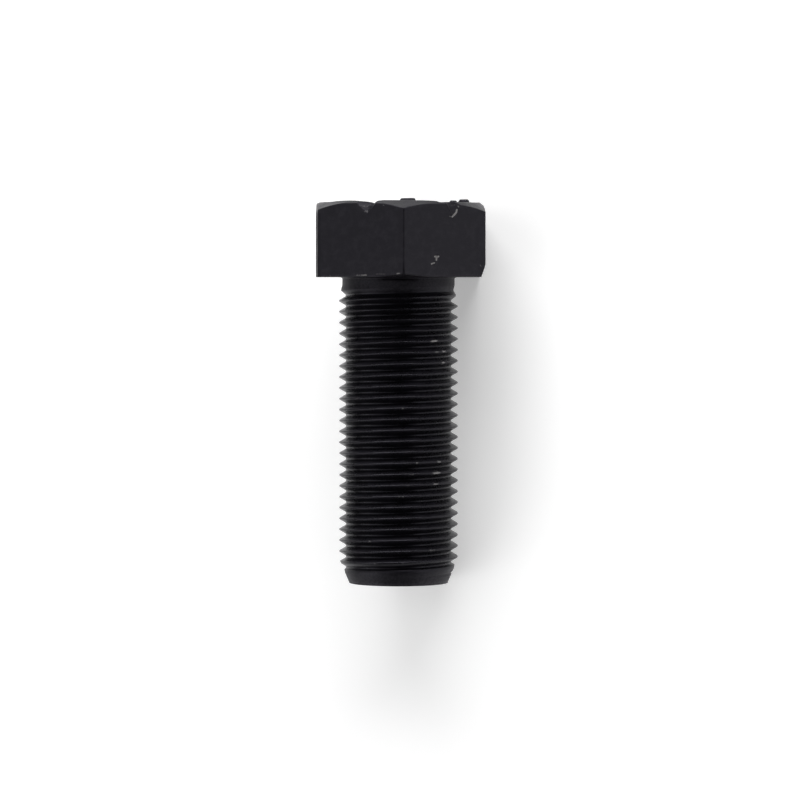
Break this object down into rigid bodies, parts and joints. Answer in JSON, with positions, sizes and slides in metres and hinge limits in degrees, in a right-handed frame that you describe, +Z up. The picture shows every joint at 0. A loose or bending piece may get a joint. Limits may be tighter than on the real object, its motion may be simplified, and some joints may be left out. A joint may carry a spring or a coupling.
{
  "type": "damper screw",
  "caption": "Black hexagon head screw with a short plain neck and a fine thread up to the head, knocked and worn, lying on its side.",
  "frame": {"origin": "on the floor, under the middle of the screw's box as it lies on its side", "axes": "+Z up; +Y along the screw towards its head, which the thread's end dips 4.95 degrees below; +X to the side of the head's worn corner"},
  "size_m": [0.0352, 0.0716, 0.0315],
  "materials": {
    "blackened_steel": "satin"
  },
  "bodies": {
    "root": {"hex_head_screw": "blackened_steel"}
  },
  "joints": []
}
